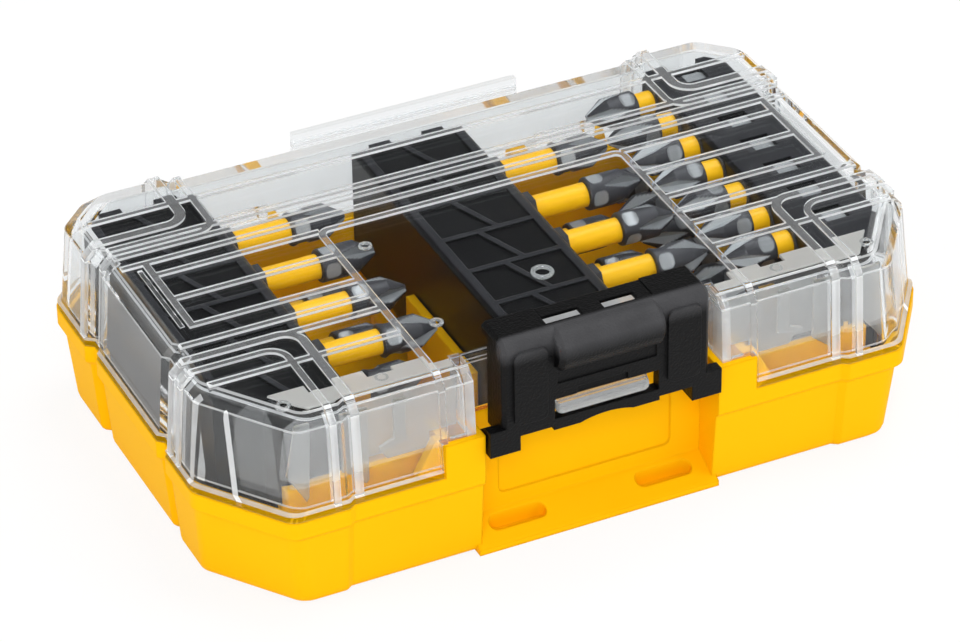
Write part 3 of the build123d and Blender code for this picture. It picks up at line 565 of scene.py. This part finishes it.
# Radius of the ring, and of the wire it is made of.
SMALL_RING = (1.1, 0.38)
LARGE_RING = (1.9, 0.5)
BOSS_Z = 42.2
BOSS_PLACES = ((-63.5, -38.9), (-43.0, -38.9), (42.6, -39.3), (63.2, -38.9), (-26.8, 4.6), (-25.6, -26.4))
for number, (x, y) in enumerate(BOSS_PLACES, start=1):
    boss_ring(f"lid_boss_{number}", (x, y, BOSS_Z), *SMALL_RING)
MIDDLE_BOSS = (0.8, -19.5, 42.1)
boss_ring("middle_boss", MIDDLE_BOSS, *LARGE_RING)


# Catch bar: the polished end of the lid's own bar, moulded with it, which stands in the window of the latch.
# Its rounded edges catch the light.
CATCH_OUTLINE = ((30.8, -11.0), (30.8, 9.2), (34.0, 9.2), (34.0, -11.0))
CATCH_Y = (-50.5, -46.8)
CATCH_EDGE = 1.2
prism("catch_bar_end", CATCH_OUTLINE, *CATCH_Y, Y_AXIS, polished_polycarbonate, "lid", edge=CATCH_EDGE)


# Latch: black glass-filled nylon, hung on two pivots moulded on its feet, with a painted sheen greying its top
# edge.
# Its spark-eroded texture breaks up the highlights; it is drawn coarser than it is, 0.42 mm between grains.
# Heights over which the painted highlight on the latch's top faces fades in, and the y behind which there is none.
LATCH_SHEEN_Z = (45.0 * MM, 48.0 * MM)
LATCH_SHEEN_BACK = -46.4 * MM
textured_nylon = moulded_plastic(
    "textured_black_nylon", "#0A0A0B", "#070708",
    grain=0.42 * MM, bump=1.6, edge=0.3 * MM,
    shader={"Roughness": 0.42, "IOR": 1.53, "Specular IOR Level": 0.14},
)
# Painted highlight: the top faces of the latch are coloured greyer for the light that falls on them from above.
painted_sheen_above(textured_nylon, *LATCH_SHEEN_Z, "#4A4A4C", "#353537", LATCH_SHEEN_BACK)
dress("latch", textured_nylon)


# Flange bridge and back of the window: the strip and webs that leave two slits in the top flange of the latch,
# and the plate inside the latch that closes the upper part of its window. Both are moulded with it.
BRIDGE_Z = (49.2, 50.1)
BRIDGE_OUTLINE = (
    (-11.45, -40.3), (-11.45, -43.4), (-3.6, -43.4), (-3.6, -46.15), (1.2, -46.15), (1.2, -43.4), (8.2, -43.4),
    (8.2, -46.15), (11.45, -46.15), (11.45, -40.3),
)
prism("flange_bridge", BRIDGE_OUTLINE, *BRIDGE_Z, Z_AXIS, textured_nylon, "latch")
WINDOW_BACK_OUTLINE = ((34.15, -6.7), (34.15, 4.7), (36.3, 4.7), (36.3, -6.7))
WINDOW_BACK_Y = (-49.1, -48.4)
prism("window_back", WINDOW_BACK_OUTLINE, *WINDOW_BACK_Y, Y_AXIS, textured_nylon, "latch")


# Floor: white paper under the case, which keeps its shadow and glows enough to look white to the camera and
# in reflections. It is not part of the object.
FLOOR_HALF = 4.0
FLOOR_GLOW = 0.86
white_floor = bpy.data.materials.new("white_paper_floor")
white_floor.use_nodes = True
tree = white_floor.node_tree
tree.nodes.clear()
paper = add_node(tree, "ShaderNodeBsdfDiffuse", {"Color": linear("#F6F6F6")})
glow = add_node(tree, "ShaderNodeEmission", {"Color": linear("#FFFFFF"), "Strength": 1.0})
ray = add_node(tree, "ShaderNodeLightPath", {})
seen = add_node(
    tree, "ShaderNodeMath", {0: ray.outputs["Is Camera Ray"], 1: ray.outputs["Is Glossy Ray"]},
    operation="MAXIMUM",
)
seen = add_node(
    tree, "ShaderNodeMath", {0: seen.outputs[0], 1: ray.outputs["Is Transmission Ray"]}, operation="MAXIMUM"
)
share = add_node(tree, "ShaderNodeMath", {0: seen.outputs[0], 1: FLOOR_GLOW}, operation="MULTIPLY")
paper_mix = add_node(
    tree, "ShaderNodeMixShader", {0: share.outputs[0], 1: paper.outputs["BSDF"], 2: glow.outputs["Emission"]}
)
add_node(tree, "ShaderNodeOutputMaterial", {"Surface": paper_mix.outputs["Shader"]})
floor_mesh = bpy.data.meshes.new("floor")
floor_mesh.from_pydata(
    [(-FLOOR_HALF, -FLOOR_HALF, 0), (FLOOR_HALF, -FLOOR_HALF, 0), (FLOOR_HALF, FLOOR_HALF, 0),
     (-FLOOR_HALF, FLOOR_HALF, 0)],
    [], [(0, 1, 2, 3)],
)
floor = add_piece("floor", floor_mesh, white_floor)


# Surround: white to the camera and half as bright as light on the case. Reflections and what shows through the
# lid see it fade to a dark ceiling, which keeps them as faint as in a studio with lamps and little else.
CEILING_FROM = sin(radians(14))
CEILING_TO = sin(radians(32))
CEILING_SHADE = 0.04
WALL_SHADE = 0.45
THROUGH_LID = 0.1
AMBIENT = 0.5
world = bpy.data.worlds.new("studio")
bpy.context.scene.world = world
world.use_nodes = True
tree = world.node_tree
tree.nodes.clear()
ray = add_node(tree, "ShaderNodeLightPath", {})
direction = add_node(tree, "ShaderNodeTexCoord", {}).outputs["Generated"]
look = add_node(tree, "ShaderNodeSeparateXYZ", {0: direction})
ceiling = add_node(
    tree, "ShaderNodeMapRange",
    {"Value": look.outputs["Z"], "From Min": CEILING_FROM, "From Max": CEILING_TO, "To Min": 1.0, "To Max": 0.0},
)
mirrored = add_node(
    tree, "ShaderNodeMapRange", {"Value": ceiling.outputs["Result"], "To Min": CEILING_SHADE, "To Max": WALL_SHADE}
)
through = add_node(
    tree, "ShaderNodeMapRange", {"Value": ceiling.outputs["Result"], "To Min": THROUGH_LID, "To Max": 1.0}
)
reflected = add_node(
    tree, "ShaderNodeMix", {0: ray.outputs["Is Glossy Ray"], 2: AMBIENT, 3: mirrored.outputs["Result"]},
    data_type="FLOAT",
)
refracted = add_node(
    tree, "ShaderNodeMix",
    {0: ray.outputs["Is Transmission Ray"], 2: reflected.outputs[0], 3: through.outputs["Result"]},
    data_type="FLOAT",
)
strength = add_node(
    tree, "ShaderNodeMix", {0: ray.outputs["Is Camera Ray"], 2: refracted.outputs[0], 3: 1.0},
    data_type="FLOAT",
)
surround = add_node(
    tree, "ShaderNodeBackground", {"Color": linear("#FFFFFF"), "Strength": strength.outputs[0]}
)
add_node(tree, "ShaderNodeOutputWorld", {"Surface": surround.outputs["Background"]})


# Lamps: four soft studio lamps at a plain level, from the front left, the left, the front right and above. Each
# is given by its place and its size in metres and its power in watts.
def soft_lamp(name, place, size, power):
    """Square area lamp that faces the middle of the case."""
    lamp = bpy.data.lights.new(name, "AREA")
    lamp.size = size
    lamp.energy = power
    rig = bpy.data.objects.new(name, lamp)
    bpy.context.scene.collection.objects.link(rig)
    rig.location = place
    rig.rotation_mode = "QUATERNION"
    rig.rotation_quaternion = Vector(place).to_track_quat("Z", "Y")
    return rig


soft_lamp("key_lamp", place=(-0.7, -1.4, 1.2), size=0.9, power=16.0)
soft_lamp("side_lamp", place=(-1.6, 0.2, 0.9), size=0.8, power=5.0)
soft_lamp("fill_lamp", place=(1.3, -0.9, 0.9), size=0.9, power=6.5)
soft_lamp("top_lamp", place=(0.65, 0.2, 1.8), size=0.9, power=13.0)


# Camera: a long lens that looks at the case from above its left front corner, in the photograph's view. Its
# place is the aim plus the distance along its line of sight, given by azimuth and elevation.
AZIMUTH = radians(-25.04)
ELEVATION = radians(34.04)
ROLL = radians(-0.85)
DISTANCE = 0.9417
AIM = Vector((-0.00303, 0.00179, 0.01924))
SENSOR_WIDTH = 36.0
FOCAL_LENGTH = 173.25
back = Vector((sin(AZIMUTH) * cos(ELEVATION), -cos(AZIMUTH) * cos(ELEVATION), sin(ELEVATION)))
level = Vector((cos(AZIMUTH), sin(AZIMUTH), 0))
upright = back.cross(level)
right = cos(ROLL) * level + sin(ROLL) * upright
up = back.cross(right)
lens = bpy.data.cameras.new("camera")
lens.sensor_width = SENSOR_WIDTH
lens.lens = FOCAL_LENGTH
lens.clip_start = 0.01
camera = bpy.data.objects.new("camera", lens)
bpy.context.scene.collection.objects.link(camera)
camera.matrix_world = Matrix.Translation(AIM + DISTANCE * back) @ Matrix((right, up, back)).transposed().to_4x4()
bpy.context.scene.camera = camera
bpy.context.scene.view_settings.view_transform = "Standard"
